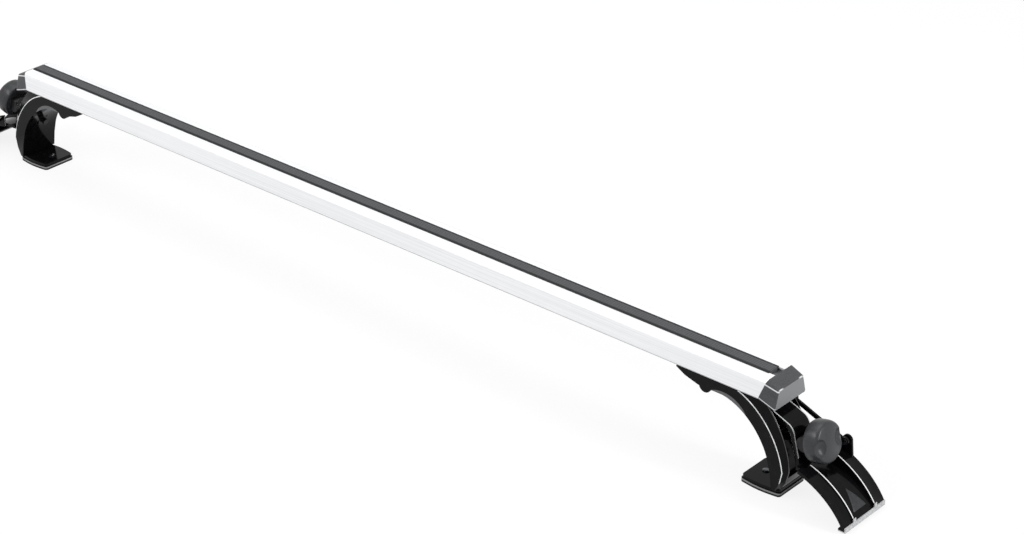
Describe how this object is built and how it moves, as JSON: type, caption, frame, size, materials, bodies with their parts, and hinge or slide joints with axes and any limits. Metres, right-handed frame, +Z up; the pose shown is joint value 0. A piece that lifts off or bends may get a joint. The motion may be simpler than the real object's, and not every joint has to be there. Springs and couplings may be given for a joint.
{
  "type": "roof rack crossbar",
  "caption": "Crossbar for a bare car roof: a hollow aluminium bar with a ribbed rubber strip on arched feet, each with a hinged door-frame clamp drawn in by a knob.",
  "frame": {"origin": "on the ground under the middle of the bar, midway between the two feet", "axes": "X along the bar, Y across it with the side links on +Y, Z up"},
  "size_m": [1.4526, 0.074, 0.137],
  "materials": {
    "bar": "satin anodised",
    "strip": "matte, ribbed",
    "cap": "fine texture",
    "gloss_black": "gloss",
    "pad": "matte",
    "steel": "zinc plated",
    "liner": "matte",
    "knob": "fine texture"
  },
  "bodies": {
    "bar": {"crossbar": "bar", "top_strip": "strip", "right_end_cap": "cap", "left_end_cap": "cap"},
    "right_foot": {"right_foot_bracket": "gloss_black", "right_foot_pad": "pad", "right_pad_screw": "steel", "right_slot_bolts": "steel", "right_slot_nuts": "steel", "right_hinge_pin": "steel", "right_captive_nut": "steel"},
    "right_clamp": {"right_clamp_plate": "gloss_black", "right_tip_liner": "liner", "right_side_link": "gloss_black", "right_link_rivet": "steel"},
    "right_carriage": {"right_rocker_washer": "steel"},
    "right_knob_unit": {"right_knob": "knob", "right_clamp_bolt": "steel"},
    "left_foot": {"left_foot_bracket": "gloss_black", "left_foot_pad": "pad", "left_pad_screw": "steel", "left_slot_bolts": "steel", "left_slot_nuts": "steel", "left_hinge_pin": "steel", "left_captive_nut": "steel"},
    "left_clamp": {"left_clamp_plate": "gloss_black", "left_tip_liner": "liner", "left_side_link": "gloss_black", "left_link_rivet": "steel"},
    "left_carriage": {"left_rocker_washer": "steel"},
    "left_knob_unit": {"left_knob": "knob", "left_clamp_bolt": "steel"}
  },
  "joints": [
    {"name": "right_foot_slide", "type": "slide", "parent": "bar", "child": "right_foot", "axis": [-1, 0, 0], "range_m": [0, 0.12]},
    {"name": "right_clamp_swing", "type": "hinge", "parent": "right_foot", "child": "right_clamp", "pos_m": [0.606, 0, 0.092], "axis": [0, -1, 0], "range_deg": [0, 3.13]},
    {"name": "right_carriage_slide", "type": "slide", "parent": "right_foot", "child": "right_carriage", "axis": [0.9659, 0, 0.2588], "range_m": [0, 0.00188]},
    {"name": "right_knob_turn", "type": "hinge", "parent": "right_carriage", "child": "right_knob_unit", "pos_m": [0.6432, 0, 0.068], "axis": [0.9659, 0, 0.2588], "range_deg": [0, 540]},
    {"name": "left_foot_slide", "type": "slide", "parent": "bar", "child": "left_foot", "axis": [1, 0, 0], "range_m": [0, 0.12]},
    {"name": "left_clamp_swing", "type": "hinge", "parent": "left_foot", "child": "left_clamp", "pos_m": [-0.606, 0, 0.092], "axis": [0, 1, 0], "range_deg": [0, 3.13]},
    {"name": "left_carriage_slide", "type": "slide", "parent": "left_foot", "child": "left_carriage", "axis": [-0.9659, 0, 0.2588], "range_m": [0, 0.00188]},
    {"name": "left_knob_turn", "type": "hinge", "parent": "left_carriage", "child": "left_knob_unit", "pos_m": [-0.6432, 0, 0.068], "axis": [-0.9659, 0, 0.2588], "range_deg": [0, 540]}
  ],
  "couplings": [
    {"joint": "right_carriage_slide", "follows": "right_knob_turn", "m_per_rad": 0.00019894},
    {"joint": "right_clamp_swing", "follows": "right_knob_turn", "ratio": 0.0057665},
    {"joint": "left_carriage_slide", "follows": "left_knob_turn", "m_per_rad": 0.00019894},
    {"joint": "left_clamp_swing", "follows": "left_knob_turn", "ratio": 0.0057665}
  ]
}
